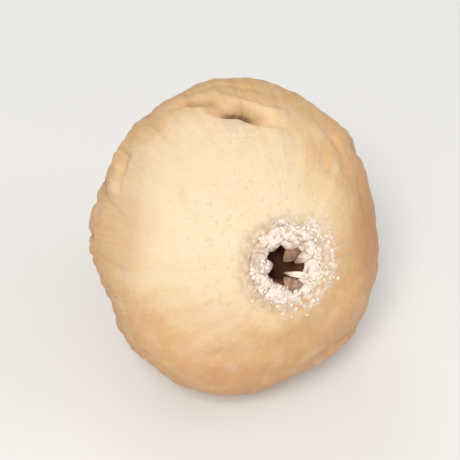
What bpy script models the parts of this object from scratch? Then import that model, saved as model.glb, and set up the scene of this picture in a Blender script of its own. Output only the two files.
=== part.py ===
"""A whole dried fig that lies on its belly and on the tip of its short cut stalk.

Metres, +Z up. Each piece is modelled upright in the fig's own frame, with the eye at +Z,
the side that ends up on top at +Y and the middle of the body at the origin. The fig is
then tipped over, cut flat where its belly presses on the floor, and set on the origin.
"""

import math

import bmesh
import bpy
import numpy as np
from mathutils import Matrix, Vector, noise

MM = 0.001
COLLECTION = "dried_fig"

# Body, measured from its middle
HALF_WIDTH = 13.25 * MM
EYE_REACH = 12.6 * MM
REAR_REACH = 14.4 * MM
CROWN_SHARE = 1.08
BELLY_SHARE = 1.03
SQUARENESS = 2.3
EYE_RISE = math.radians(36.0)
FLAT_DEPTH = 0.5 * MM

# Eye: the seat of the scales and the dark pit under them
PIT_RADIUS = 1.6 * MM
PIT_FLOOR = 7.8 * MM
SEAT_RADIUS = 3.82 * MM
SEAT_LEVEL = 11.1 * MM

# Neck and stalk, as places on the axis below the middle of the body. The swing sideways
# and the lift are how far the axis bends off, for each square metre of the way past the start.
NECK_START = 10.8 * MM
NECK_END = 18.2 * MM
NECK_RADIUS = 2.0 * MM
NECK_SWING = 9.0
NECK_LIFT = 12.0
JOIN_GAP = 0.3 * MM
STALK_LENGTH = 4.2 * MM
STALK_RADIUS = 1.15 * MM
STALK_OUTLINE = ((0.0, 1.45), (0.14, 1.30), (0.36, 0.95), (0.62, 0.86), (0.82, 1.12), (1.0, 1.0))
STALK_OUTLINE_STEP = 0.08
STALK_RIDGES = 8
STALK_RIDGE_HEIGHT = 0.05 * MM
STALK_KNOB_SIZE = 1.1 * MM
STALK_KNOB_HEIGHT = 0.12 * MM
CUT_END_RIM = 0.25 * MM
CUT_END_DEPTH = 0.12 * MM

# Mesh: sides round the body and the step between its rings
BODY_SIDES = 88
RING_STEP = 1.05 * MM

# Pleats: how deep they are at each place on the axis, from the neck's end to the eye
PLEATS = 21
NECK_PLEATS = 7
PLEAT_PLACES = (-17.5 * MM, -14.5 * MM, -11.0 * MM, -7.0 * MM, -1.0 * MM, 4.0 * MM, 9.0 * MM, 11.5 * MM)
PLEAT_DEPTHS = (0.30 * MM, 0.60 * MM, 0.95 * MM, 0.90 * MM, 0.62 * MM, 0.40 * MM, 0.16 * MM, 0.0)
PLEAT_WARPS = ((1, 0.10, 1.0), (2, 0.08, 4.0), (3, 0.06, 0.7), (5, 0.03, 2.2))
PLEAT_SHARPNESS = 0.65
PLEAT_DRIFT = 0.10
PLEAT_DRIFT_SIZE = 5.0 * MM
PLEAT_MERGE_LENGTH = 3.0 * MM
UNEVEN_SIZE = 4.0 * MM
LUMP_SIZE = 5.5 * MM
LUMP_HEIGHT = 0.45 * MM

# The relief dies away over these lengths towards the eye's seat and the neck's cut end
EYE_CALM = 3.0 * MM
NECK_CALM = 4.0 * MM

# Shoulder behind the crease on top, and shallow hollows: angle from the eye and angle
# round from the top, in degrees, then reach and height
SWELLINGS = (
    (90.0, 10.0, 6.0 * MM, 1.60 * MM),
    (76.0, 55.0, 7.0 * MM, 0.75 * MM),
    (86.0, -30.0, 7.0 * MM, 0.35 * MM),
    (62.0, 155.0, 6.0 * MM, -0.45 * MM),
    (74.0, -46.0, 4.0 * MM, -0.45 * MM),
    (96.0, -48.0, 3.5 * MM, -0.55 * MM),
    (58.0, -140.0, 4.0 * MM, -0.30 * MM),
    (112.0, 70.0, 5.0 * MM, -0.60 * MM),
    (105.0, 150.0, 4.5 * MM, -0.40 * MM),
    (118.0, -95.0, 5.0 * MM, -0.55 * MM),
)

# Creases across the pleats: both ends as angles like those above, then depth and half width
CREASES = (
    (56.0, 27.0, 62.0, 4.0, 0.95 * MM, 0.80 * MM),
    (62.0, 6.0, 80.0, -14.0, 0.85 * MM, 0.75 * MM),
    (88.0, -30.0, 78.0, -56.0, 0.45 * MM, 0.65 * MM),
    (98.0, -66.0, 104.0, -98.0, 0.50 * MM, 0.70 * MM),
    (70.0, 60.0, 88.0, 78.0, 0.45 * MM, 0.70 * MM),
    (58.0, 168.0, 76.0, 132.0, 0.50 * MM, 0.75 * MM),
    (104.0, 20.0, 118.0, 48.0, 0.55 * MM, 0.80 * MM),
    (108.0, 100.0, 120.0, 130.0, 0.50 * MM, 0.80 * MM),
    (116.0, -20.0, 124.0, -58.0, 0.55 * MM, 0.80 * MM),
    (100.0, -130.0, 112.0, -165.0, 0.45 * MM, 0.75 * MM),
)
CREASE_TAPER = 0.2
LIP_SHARE = 0.55
LIP_OFFSET = 2.0

# Scales of the eye: middle angle, half width and tip's distance from the centre of the
# five inner ones, which leave the star-shaped gap between them
INNER_SCALES = (
    (82.0, 1.55 * MM, 0.45 * MM),
    (178.0, 1.20 * MM, 0.55 * MM),
    (252.0, 1.00 * MM, 0.50 * MM),
    (314.0, 0.72 * MM, 0.40 * MM),
    (4.0, 0.78 * MM, 0.80 * MM),
)
INNER_BASE = 2.75 * MM
INNER_HALF_HEIGHT = 0.26 * MM
INNER_DIP = 0.35 * MM
MIDDLE_SCALES = 8
MIDDLE_BASE = 3.15 * MM
MIDDLE_TIP = 1.95 * MM
MIDDLE_HALF_WIDTH = 0.72 * MM
MIDDLE_HALF_HEIGHT = 0.24 * MM
OUTER_SCALES = 12
OUTER_BASE = 3.50 * MM
OUTER_TIP = 2.45 * MM
OUTER_HALF_WIDTH = 0.55 * MM
OUTER_HALF_HEIGHT = 0.22 * MM
OUTER_DROP = 0.15 * MM
RING_RADIUS = 2.65 * MM
RING_HALF_WIDTH = 0.85 * MM
RING_HALF_HEIGHT = 0.28 * MM

# Colours, as linear values
SKIN_COLOUR = (0.76, 0.56, 0.33, 1.0)
STALK_COLOUR = (0.17, 0.095, 0.055, 1.0)
SCALE_COLOUR = (0.72, 0.60, 0.49, 1.0)


def clear_scene():
    for leftover in list(bpy.data.objects):
        bpy.data.objects.remove(leftover)


def make_material(name, colour, roughness):
    material = bpy.data.materials.new(name)
    material.use_nodes = True
    shader = material.node_tree.nodes["Principled BSDF"]
    shader.inputs["Base Color"].default_value = colour
    shader.inputs["Roughness"].default_value = roughness
    shader.inputs["Metallic"].default_value = 0.0
    return material


def add_object(name, mesh, collection, material=None):
    piece = bpy.data.objects.new(name, mesh)
    collection.objects.link(piece)
    if material is not None:
        mesh.materials.append(material)
    return piece


def direction(from_eye, around):
    """Unit vector at an angle from the eye and an angle round from the top, in degrees."""
    lean = math.radians(from_eye)
    turn = math.radians(around)
    return Vector((math.sin(lean) * math.sin(turn), math.sin(lean) * math.cos(turn), math.cos(lean)))


def spine(axial):
    """Middle of the ring at this place on the axis. The neck and the stalk bend off it."""
    past = max(0.0, -axial - NECK_START)
    return Vector((NECK_SWING * past * past, NECK_LIFT * past * past, axial))


def outline_stations():
    """Radius and place on the axis, from the floor of the pit to the end of the neck."""
    stations = [
        (0.0, PIT_FLOOR),
        (0.6 * PIT_RADIUS, PIT_FLOOR + 0.1 * MM),
        (0.9 * PIT_RADIUS, PIT_FLOOR + 1.6 * MM),
        (PIT_RADIUS, SEAT_LEVEL - 0.1 * MM),
        (SEAT_RADIUS, SEAT_LEVEL),
        (SEAT_RADIUS + 0.12 * MM, SEAT_LEVEL + 0.75 * MM),
        (SEAT_RADIUS + 0.75 * MM, SEAT_LEVEL + 0.85 * MM),
    ]
    for degrees in range(28, 130, 17):
        angle = math.radians(degrees)
        reach = EYE_REACH if degrees < 90 else REAR_REACH
        stations.append((HALF_WIDTH * math.sin(angle), reach * math.cos(angle)))
    stations += [
        (8.0 * MM, -NECK_START - 0.3 * MM),
        (5.3 * MM, -NECK_START - 2.6 * MM),
        (3.3 * MM, -NECK_START - 4.7 * MM),
        (1.15 * NECK_RADIUS, -NECK_END + 1.0 * MM),
        (NECK_RADIUS, -NECK_END + 0.1 * MM),
        (0.8 * NECK_RADIUS, -NECK_END),
        (0.0, -NECK_END + 0.25 * MM),
    ]
    return [Vector(station) for station in stations]


def smooth_through(stations, step):
    """Points about one step apart on a smooth curve through the stations."""
    padded = [stations[0], *stations, stations[-1]]
    points = []
    for before, start, end, after in zip(padded, padded[1:], padded[2:], padded[3:]):
        steps = max(1, round((end - start).length / step))
        for count in range(steps):
            t = count / steps
            bend = 2 * start + (end - before) * t
            bend += (2 * before - 5 * start + 4 * end - after) * t**2
            bend += (3 * start - before - 3 * end + after) * t**3
            points.append(bend / 2)
    points.append(stations[-1])
    return points


def round_share(around, radius):
    """How far the body's ring stands out of a circle here: taller than wide, and squarish."""
    across = abs(math.cos(around))
    upward = abs(math.sin(around))
    tall = CROWN_SHARE if math.sin(around) > 0 else BELLY_SHARE
    square = (across**SQUARENESS + upward**SQUARENESS) ** (-1 / SQUARENESS)
    fullness = min(1.0, radius / HALF_WIDTH) ** 2
    return 1 + fullness * (square * (1 + (tall - 1) * upward * upward) - 1)


def pleat_relief(spot):
    """Depth of the pleats, which run from the eye to the neck and merge on the neck."""
    around = math.atan2(spot.x, spot.y)
    warped = around + PLEAT_DRIFT * math.sin(spot.z / PLEAT_DRIFT_SIZE)
    for times, share, start in PLEAT_WARPS:
        warped += share * math.sin(times * around + start)
    body_wave = abs(math.sin(PLEATS * warped / 2)) ** PLEAT_SHARPNESS
    neck_wave = abs(math.sin(NECK_PLEATS * warped / 2)) ** PLEAT_SHARPNESS
    on_neck = min(1.0, max(0.0, (-spot.z - NECK_START) / PLEAT_MERGE_LENGTH))
    wave = (1 - on_neck) * body_wave + on_neck * neck_wave
    depth = float(np.interp(spot.z, PLEAT_PLACES, PLEAT_DEPTHS))
    uneven = 0.75 + 0.6 * noise.noise(spot / UNEVEN_SIZE)
    return -depth * uneven * (1 - wave)


def swelling_relief(spot):
    height = 0.0
    for from_eye, around, reach, rise in SWELLINGS:
        centre = direction(from_eye, around) * HALF_WIDTH
        height += rise * math.exp(-(((spot - centre).length / reach) ** 2))
    return height


def crease_relief(spot):
    """Short folds across the pleats: a groove, with a lip of skin on its neck side."""
    height = 0.0
    towards = spot.normalized()
    for eye_a, round_a, eye_b, round_b, depth, half_width in CREASES:
        start = direction(eye_a, round_a)
        end = direction(eye_b, round_b)
        across = start.cross(end).normalized()
        if across.z > 0:
            across.negate()
        off = towards.dot(across) * HALF_WIDTH
        run = (end - start).length
        along = (towards - start).dot(end - start) / run**2
        if not -CREASE_TAPER < along < 1 + CREASE_TAPER or towards.dot(start) < 0:
            continue
        taper = math.sin(math.pi * (along + CREASE_TAPER) / (1 + 2 * CREASE_TAPER))
        groove = -depth * math.exp(-((off / half_width) ** 2))
        lip = LIP_SHARE * depth * math.exp(-((off / half_width - LIP_OFFSET) ** 2))
        height += taper * (groove + lip)
    return height


def skin_relief(spot):
    """How far the skin stands out of the smooth body at this spot."""
    lump = LUMP_HEIGHT * noise.noise(spot / LUMP_SIZE)
    height = pleat_relief(spot) + swelling_relief(spot) + crease_relief(spot) + lump
    if spot.z > 0:
        from_seat = math.hypot(spot.x, spot.y) - SEAT_RADIUS - JOIN_GAP
        return height * min(1.0, max(0.0, from_seat / EYE_CALM))
    from_neck_end = NECK_END - NECK_RADIUS * 0.3 + spot.z
    return height * min(1.0, max(0.0, from_neck_end / NECK_CALM))


def make_body(collection):
    rings = smooth_through(outline_stations(), RING_STEP)
    shape = bmesh.new()
    bmesh.ops.create_uvsphere(shape, u_segments=BODY_SIDES, v_segments=len(rings) - 1, radius=1.0)
    for vertex in shape.verts:
        ring = round(math.acos(max(-1.0, min(1.0, vertex.co.z))) / math.pi * (len(rings) - 1))
        radius, axial = rings[ring]
        around = math.atan2(vertex.co.y, vertex.co.x)
        width = radius * round_share(around, radius)
        vertex.co = Vector((width * math.cos(around), width * math.sin(around), axial))
    shape.normal_update()
    raised = [vertex.co + vertex.normal * skin_relief(vertex.co) for vertex in shape.verts]
    for vertex, place in zip(shape.verts, raised):
        vertex.co = place + spine(place.z) - Vector((0.0, 0.0, place.z))
    mesh = bpy.data.meshes.new("fig_body")
    shape.to_mesh(mesh)
    shape.free()
    return add_object("fig_body", mesh, collection, make_material("skin", SKIN_COLOUR, 0.62))


def make_stalk(collection):
    """A tube along the spine, thick where it joins the neck and knobby at the cut end."""
    thickness = smooth_through([Vector(station) for station in STALK_OUTLINE], STALK_OUTLINE_STEP)
    curve = bpy.data.curves.new("stalk_path", "CURVE")
    curve.dimensions = "3D"
    curve.bevel_depth = STALK_RADIUS
    curve.bevel_resolution = 7
    curve.use_fill_caps = True
    path = curve.splines.new("POLY")
    path.points.add(len(thickness) - 1)
    for point, (along, share) in zip(path.points, thickness):
        place = spine(-NECK_END - JOIN_GAP - along * STALK_LENGTH)
        point.co = (*place, 1.0)
        point.radius = share
    source = add_object("stalk_path", curve, collection)
    mesh = bpy.data.meshes.new_from_object(source.evaluated_get(bpy.context.evaluated_depsgraph_get()))
    bpy.data.objects.remove(source)

    tip_level = -NECK_END - JOIN_GAP - 0.9 * STALK_LENGTH
    shape = bmesh.new()
    shape.from_mesh(mesh)
    bmesh.ops.remove_doubles(shape, verts=shape.verts, dist=1e-6)
    shape.normal_update()
    ends = [face for face in shape.faces if face.normal.z < -0.9]
    cut_end = [face for face in ends if face.calc_center_median().z < tip_level]
    for vertex in shape.verts:
        middle = spine(vertex.co.z)
        outward = vertex.co - middle
        around = math.atan2(outward.y, outward.x)
        ridge = STALK_RIDGE_HEIGHT * math.cos(STALK_RIDGES * around)
        knob = STALK_KNOB_HEIGHT * noise.noise(vertex.co / STALK_KNOB_SIZE)
        vertex.co += outward.normalized() * (ridge + knob)
    bmesh.ops.inset_region(shape, faces=cut_end, thickness=CUT_END_RIM, depth=-CUT_END_DEPTH)
    shape.to_mesh(mesh)
    shape.free()
    mesh.name = "stalk"
    return add_object("stalk", mesh, collection, make_material("stalk_wood", STALK_COLOUR, 0.75))


def add_scale(collection, around, base, tip, half_width, half_height, level, dip):
    """One tongue that lies flat, from its round base at one radius to its tip nearer the centre."""
    shape = bmesh.new()
    bmesh.ops.create_uvsphere(shape, u_segments=8, v_segments=6, radius=1.0)
    middle = (base + tip) / 2
    half_length = (base - tip) / 2
    for vertex in shape.verts:
        along, side, up = vertex.co.z, vertex.co.x, vertex.co.y
        narrowing = 1 - 0.55 * max(0.0, along) ** 1.5
        sink = dip * max(0.0, along) ** 2
        vertex.co = Vector((
            middle - along * half_length,
            side * half_width * narrowing,
            level + up * half_height - sink,
        ))
    mesh = bpy.data.meshes.new("scale")
    shape.transform(Matrix.Rotation(math.radians(around), 4, "Z"))
    bmesh.ops.recalc_face_normals(shape, faces=shape.faces)
    shape.to_mesh(mesh)
    shape.free()
    return add_object("scale", mesh, collection)


def make_eye_scales(collection):
    """Three rows of whitish scales on one ring, joined in a single solid."""
    bpy.ops.mesh.primitive_torus_add(
        major_segments=28, minor_segments=6, major_radius=RING_RADIUS, minor_radius=RING_HALF_WIDTH
    )
    ring = bpy.context.active_object
    ring.name = "eye_scales"
    ring.data.name = "eye_scales"
    middle = SEAT_LEVEL + JOIN_GAP + RING_HALF_HEIGHT
    for vertex in ring.data.vertices:
        vertex.co.z = middle + vertex.co.z * RING_HALF_HEIGHT / RING_HALF_WIDTH
    for owner in list(ring.users_collection):
        owner.objects.unlink(ring)
    collection.objects.link(ring)
    ring.data.materials.append(make_material("scales", SCALE_COLOUR, 0.8))

    repeats = bpy.data.collections.new("eye_scale_repeats")
    bpy.context.scene.collection.children.link(repeats)
    top = SEAT_LEVEL + JOIN_GAP + 2 * RING_HALF_HEIGHT
    for around, half_width, tip in INNER_SCALES:
        add_scale(repeats, around, INNER_BASE, tip, half_width, INNER_HALF_HEIGHT, top, INNER_DIP)
    for count in range(MIDDLE_SCALES):
        around = 360 / MIDDLE_SCALES * (count + 0.37) + 7 * math.sin(2.3 * count)
        add_scale(repeats, around, MIDDLE_BASE, MIDDLE_TIP, MIDDLE_HALF_WIDTH, MIDDLE_HALF_HEIGHT, top, 0.0)
    for count in range(OUTER_SCALES):
        around = 360 / OUTER_SCALES * count + 6 * math.sin(1.7 * count)
        level = top - OUTER_DROP
        add_scale(repeats, around, OUTER_BASE, OUTER_TIP, OUTER_HALF_WIDTH, OUTER_HALF_HEIGHT, level, 0.0)

    join = ring.modifiers.new("join_scales", "BOOLEAN")
    join.operation = "UNION"
    join.operand_type = "COLLECTION"
    join.collection = repeats
    join.solver = "EXACT"
    joined = bpy.data.meshes.new_from_object(ring.evaluated_get(bpy.context.evaluated_depsgraph_get()))
    ring.modifiers.clear()
    ring.data = joined
    for repeat in list(repeats.objects):
        bpy.data.objects.remove(repeat)
    bpy.data.collections.remove(repeats)
    return ring


def tip_over(piece):
    piece.data.transform(Matrix.Rotation(math.pi / 2 - EYE_RISE, 4, "X"))


def cut_flat(piece, floor):
    """Cut away what lies below the floor and close the cut with one flat face."""
    shape = bmesh.new()
    shape.from_mesh(piece.data)
    everything = list(shape.verts) + list(shape.edges) + list(shape.faces)
    bmesh.ops.bisect_plane(
        shape,
        geom=everything,
        dist=1e-7,
        plane_co=(0.0, 0.0, floor),
        plane_no=(0.0, 0.0, -1.0),
        clear_outer=True,
    )
    rim = [edge for edge in shape.edges if edge.is_boundary]
    if rim:
        bmesh.ops.contextual_create(shape, geom=rim)
    bmesh.ops.recalc_face_normals(shape, faces=shape.faces)
    shape.to_mesh(piece.data)
    shape.free()


def stand_on_origin(pieces, floor):
    """Move the pieces so that the middle of their box's underside is the origin."""
    corners = [vertex.co for piece in pieces for vertex in piece.data.vertices]
    middle_x = (min(c.x for c in corners) + max(c.x for c in corners)) / 2
    middle_y = (min(c.y for c in corners) + max(c.y for c in corners)) / 2
    for piece in pieces:
        piece.data.transform(Matrix.Translation((-middle_x, -middle_y, -floor)))


def main():
    clear_scene()
    collection = bpy.data.collections.new(COLLECTION)
    bpy.context.scene.collection.children.link(collection)
    body = make_body(collection)
    stalk = make_stalk(collection)
    scales = make_eye_scales(collection)
    pieces = (body, stalk, scales)
    for piece in pieces:
        tip_over(piece)
    floor = min(vertex.co.z for vertex in body.data.vertices) + FLAT_DEPTH
    cut_flat(body, floor)
    cut_flat(stalk, floor)
    stand_on_origin(pieces, floor)
    for piece in pieces:
        piece.data.shade_smooth()
        piece.data.set_sharp_from_angle(angle=math.radians(50.0))


main()
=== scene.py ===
# %% [markdown]
# A whole dried fig, finished as it would look on a pale table.
#
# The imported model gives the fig's solids at their real size. This lesson dresses them: the skin
# becomes a finely wrinkled mesh, the eye gets papery scales and grains of dried sugar, and the
# stalk gets bark and a cut end. Everything is in metres and in the frame of the solids.

# %% Load the solids
from math import acos, atan2, cos, degrees, exp, hypot, pi, radians, sin, sqrt

import bmesh
import bpy
from mathutils import Matrix, Vector, noise
from mathutils.bvhtree import BVHTree


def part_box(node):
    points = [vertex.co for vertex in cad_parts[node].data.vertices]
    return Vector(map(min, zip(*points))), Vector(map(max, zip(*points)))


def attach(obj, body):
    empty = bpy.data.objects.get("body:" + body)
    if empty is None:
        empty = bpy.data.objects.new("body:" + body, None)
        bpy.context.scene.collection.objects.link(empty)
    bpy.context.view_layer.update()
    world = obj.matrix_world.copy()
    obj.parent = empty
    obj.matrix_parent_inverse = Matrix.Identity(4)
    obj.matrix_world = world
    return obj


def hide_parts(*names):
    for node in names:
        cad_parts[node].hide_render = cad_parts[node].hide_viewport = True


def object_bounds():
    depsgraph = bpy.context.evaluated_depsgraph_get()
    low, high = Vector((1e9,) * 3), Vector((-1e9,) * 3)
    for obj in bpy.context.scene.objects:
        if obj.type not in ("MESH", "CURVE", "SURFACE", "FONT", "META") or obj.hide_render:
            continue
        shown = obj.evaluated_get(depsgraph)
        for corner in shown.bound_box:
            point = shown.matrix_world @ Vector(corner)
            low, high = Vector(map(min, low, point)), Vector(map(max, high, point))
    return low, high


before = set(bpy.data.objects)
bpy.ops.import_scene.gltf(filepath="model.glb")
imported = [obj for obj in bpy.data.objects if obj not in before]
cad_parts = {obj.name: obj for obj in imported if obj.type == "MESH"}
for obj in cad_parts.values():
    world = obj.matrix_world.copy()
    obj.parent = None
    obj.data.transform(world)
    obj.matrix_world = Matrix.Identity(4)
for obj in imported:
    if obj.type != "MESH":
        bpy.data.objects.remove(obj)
cad_box = [list(map(float, corner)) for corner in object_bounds()]
low, high = Vector(cad_box[0]), Vector(cad_box[1])
MM = 0.001


def in_mm(*values):
    """These numbers of millimetres, in metres."""
    return tuple(value * MM for value in values)


print("solids:", sorted(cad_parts), "size in mm:", [round(side / MM, 1) for side in high - low])

# %% [markdown]
# The fig was modelled upright, with its eye at +Z, and was then tipped over. Pleats, creases and
# scales are far easier to describe upright, so this cell finds the way back: the tilt is known,
# and the ring of scales, which lies at a known level on the fig's axis, tells where the middle is.

# %% The fig's own upright frame
EYE_RISE = radians(36.0)
RING_LEVEL = 11.762 * MM

tilt = Matrix.Rotation(pi / 2 - EYE_RISE, 4, "X")
ring_low, ring_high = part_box("eye_scales")
axis = tilt @ Vector((0.0, 0.0, 1.0))
middle = (ring_low + ring_high) / 2 - axis * RING_LEVEL
to_world = Matrix.Translation(middle) @ tilt
print("middle of the body in mm:", [round(value / MM, 2) for value in middle])

# %% [markdown]
# The camera stands where the photographer's did, as seen from the fig: a little to the left of
# the eye and looking down at 45 degrees. A long lens keeps the small fruit free of distortion,
# and the distance follows from how much of the picture's height the fig should fill.

# %% Camera
CAMERA_AZIMUTH = radians(-25.0)
CAMERA_ELEVATION = radians(45.0)
LENS_MM = 90.0
SENSOR_MM = 36.0
VIEW_HEIGHT = 44.0 * MM


def add_object(name, data):
    """A new object for this data, linked to the scene."""
    new_object = bpy.data.objects.new(name, data)
    bpy.context.scene.collection.objects.link(new_object)
    return new_object


look_at = Vector((0.0, -1.6 * MM, 13.4 * MM))
towards_camera = Vector((
    sin(CAMERA_AZIMUTH) * cos(CAMERA_ELEVATION),
    -cos(CAMERA_AZIMUTH) * cos(CAMERA_ELEVATION),
    sin(CAMERA_ELEVATION),
))
camera_data = bpy.data.cameras.new("camera")
camera_data.lens = LENS_MM
camera_data.sensor_width = SENSOR_MM
camera_data.clip_start = 0.01
camera = add_object("camera", camera_data)
camera.location = look_at + towards_camera * (VIEW_HEIGHT * LENS_MM / SENSOR_MM)
camera.rotation_euler = towards_camera.to_track_quat("Z", "Y").to_euler()
bpy.context.scene.camera = camera
print("camera distance in mm:", round((camera.location - look_at).length / MM))

# %% [markdown]
# A pale floor and large soft lamps, as in a small photo tent. The key lamp stands high at the
# front left and makes the front of the fig the brightest part. The others open the shadows.

# %% Floor and light
FLOOR_HALF_SIZE = 4.0
FLOOR_COLOUR = (0.80, 0.79, 0.77)


def add_lamp(name, place, size, watts, colour):
    """A square lamp that faces the fig."""
    lamp_data = bpy.data.lights.new(name, "AREA")
    lamp_data.size = size
    lamp_data.energy = watts
    lamp_data.color = colour
    lamp = add_object(name, lamp_data)
    lamp.location = place
    lamp.rotation_euler = (Vector(place) - look_at).to_track_quat("Z", "Y").to_euler()


bpy.ops.mesh.primitive_plane_add(size=2 * FLOOR_HALF_SIZE)
floor = bpy.context.active_object
floor.name = "floor"
floor_material = bpy.data.materials.new("floor_paper")
floor_material.use_nodes = True
floor_shader = floor_material.node_tree.nodes["Principled BSDF"]
floor_shader.inputs["Base Color"].default_value = (*FLOOR_COLOUR, 1.0)
floor_shader.inputs["Roughness"].default_value = 0.9
floor.data.materials.append(floor_material)

add_lamp("key_lamp", (-0.16, -0.20, 0.34), 0.16, 1.21, (1.0, 0.97, 0.92))
add_lamp("fill_lamp", (0.30, -0.18, 0.20), 0.30, 0.30, (0.97, 0.98, 1.0))
add_lamp("back_lamp", (0.05, 0.32, 0.26), 0.25, 0.25, (1.0, 0.98, 0.95))

world = bpy.data.worlds.new("tent")
world.use_nodes = True
sky = world.node_tree.nodes["Background"].inputs
sky["Color"].default_value = (0.95, 0.97, 1.0, 1.0)
sky["Strength"].default_value = 0.46
bpy.context.scene.world = world
bpy.context.scene.view_settings.view_transform = "Standard"
print("lamps:", [item.name for item in bpy.data.lights])

# %% [markdown]
# The skin's sizes repeat those of the solid body, so that the fine skin lies exactly where the
# solid does. The outline runs from the floor of the pit in the eye, over its rim, round the body
# and down the neck to the cut end.

# %% Sizes of the skin
HALF_WIDTH = 13.25 * MM
EYE_REACH = 12.6 * MM
REAR_REACH = 14.4 * MM
CROWN_SHARE = 1.08
BELLY_SHARE = 1.03
SQUARENESS = 2.3
PIT_RADIUS = 1.6 * MM
PIT_FLOOR = 7.8 * MM
SEAT_RADIUS = 3.82 * MM
SEAT_LEVEL = 11.1 * MM
RIM_CLOSE = 0.75 * MM
NECK_START = 10.8 * MM
NECK_END = 18.2 * MM
NECK_RADIUS = 2.0 * MM
NECK_SWING = 9.0
NECK_LIFT = 12.0
STALK_LENGTH = 4.2 * MM
JOIN_GAP = 0.3 * MM


def spine(axial):
    """Middle of the ring at this place on the axis. The neck and the stalk bend off it."""
    past = max(0.0, -axial - NECK_START)
    return Vector((NECK_SWING * past * past, NECK_LIFT * past * past, axial))


def outline_stations():
    """Radius and place on the axis, from the floor of the pit to the end of the neck."""
    stations = [
        (0.0, PIT_FLOOR),
        (0.6 * PIT_RADIUS, PIT_FLOOR + 0.1 * MM),
        (0.9 * PIT_RADIUS, PIT_FLOOR + 1.6 * MM),
        (PIT_RADIUS, SEAT_LEVEL - 0.1 * MM),
        (SEAT_RADIUS - RIM_CLOSE, SEAT_LEVEL),
        (SEAT_RADIUS + 0.02 * MM - RIM_CLOSE, SEAT_LEVEL + 0.62 * MM),
        (SEAT_RADIUS + 0.45 * MM - 0.5 * RIM_CLOSE, SEAT_LEVEL + 0.92 * MM),
    ]
    for degrees in range(28, 130, 17):
        angle = radians(degrees)
        reach = EYE_REACH if degrees < 90 else REAR_REACH
        stations.append((HALF_WIDTH * sin(angle), reach * cos(angle)))
    stations += [
        (8.0 * MM, -NECK_START - 0.3 * MM),
        (5.3 * MM, -NECK_START - 2.6 * MM),
        (3.3 * MM, -NECK_START - 4.7 * MM),
        (1.15 * NECK_RADIUS, -NECK_END + 1.0 * MM),
        (NECK_RADIUS, -NECK_END + 0.1 * MM),
        (0.8 * NECK_RADIUS, -NECK_END),
        (0.0, -NECK_END + 0.25 * MM),
    ]
    return [Vector(station) for station in stations]


def smooth_through(stations, step):
    """Points about one step apart on a smooth curve through the stations."""
    padded = [stations[0], *stations, stations[-1]]
    points = []
    for before, start, end, after in zip(padded, padded[1:], padded[2:], padded[3:]):
        steps = max(1, round((end - start).length / step))
        for count in range(steps):
            t = count / steps
            bend = 2 * start + (end - before) * t
            bend += (2 * before - 5 * start + 4 * end - after) * t**2
            bend += (3 * start - before - 3 * end + after) * t**3
            points.append(bend / 2)
    points.append(stations[-1])
    return points


SKIN_RING_STEP = 0.205 * MM
skin_rings = smooth_through(outline_stations(), SKIN_RING_STEP)
print("rings from the eye to the neck:", len(skin_rings))

# %% [markdown]
# A fig dries from plump to slack, and its skin gathers in pleats that run from the eye to the
# neck. They are deepest behind the widest part, where the flesh shrinks most, and they merge as
# the neck narrows. A rounded wave with sharp valleys, warped so that no two pleats are alike,
# gives them.

# %% Pleats
PLEATS = 21
NECK_PLEATS = 7
PLEAT_PLACES = in_mm(-17.5, -14.5, -11.0, -7.0, -1.0, 4.0, 9.0, 11.5)
PLEAT_DEPTHS = in_mm(0.30, 0.60, 0.95, 0.90, 0.62, 0.40, 0.16, 0.0)
PLEAT_WARPS = ((1, 0.10, 1.0), (2, 0.08, 4.0), (3, 0.06, 0.7), (5, 0.03, 2.2))
PLEAT_SHARPNESS = 0.65
PLEAT_DRIFT = 0.10
PLEAT_DRIFT_SIZE = 5.0 * MM
PLEAT_MERGE_LENGTH = 3.0 * MM
UNEVEN_SIZE = 4.0 * MM


def clamp(value, least=0.0):
    return min(1.0, max(least, value))


def between(places, values, place, eased=False):
    """The value at a place between the listed places, on straight lines or with soft corners."""
    if place <= places[0]:
        return values[0]
    for left, right, start, end in zip(places, places[1:], values, values[1:]):
        if place <= right:
            t = (place - left) / (right - left)
            return start + (end - start) * (t * t * (3 - 2 * t) if eased else t)
    return values[-1]


def pleat_relief(spot):
    """Depth of the pleats here, and how far down in a valley the spot is."""
    around = atan2(spot.x, spot.y)
    warped = around + PLEAT_DRIFT * sin(spot.z / PLEAT_DRIFT_SIZE)
    for waves, share, start in PLEAT_WARPS:
        warped += share * sin(waves * around + start)
    body_wave = abs(sin(PLEATS * warped / 2)) ** PLEAT_SHARPNESS
    neck_wave = abs(sin(NECK_PLEATS * warped / 2)) ** PLEAT_SHARPNESS
    on_neck = clamp((-spot.z - NECK_START) / PLEAT_MERGE_LENGTH)
    wave = (1 - on_neck) * body_wave + on_neck * neck_wave
    depth = between(PLEAT_PLACES, PLEAT_DEPTHS, spot.z)
    uneven = 0.75 + 0.6 * noise.noise(spot / UNEVEN_SIZE)
    return -depth * uneven * (1 - wave), 1 - wave


print("pleats:", PLEATS, "on the neck:", NECK_PLEATS)

# %% [markdown]
# Broad swellings and dents make the body uneven, and the whole body is taller than wide and a
# little square. Places on the skin are given by two angles: from the eye, and round from the top.

# %% Swellings and dents
# From the eye and round from the top in degrees, reach and rise in mm
SWELLINGS = (
    (90, 10, 6.0, 1.60),
    (76, 55, 7.0, 0.75),
    (86, -30, 7.0, 0.35),
    (62, 155, 6.0, -0.45),
    (74, -46, 4.0, -0.45),
    (96, -48, 3.5, -0.55),
    (58, -140, 4.0, -0.30),
    (112, 70, 5.0, -0.60),
    (105, 150, 4.5, -0.40),
    (118, -95, 5.0, -0.55),
)


def direction(from_eye, around):
    """Unit vector at an angle from the eye and an angle round from the top, in degrees."""
    lean = radians(from_eye)
    turn = radians(around)
    return Vector((sin(lean) * sin(turn), sin(lean) * cos(turn), cos(lean)))


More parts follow.
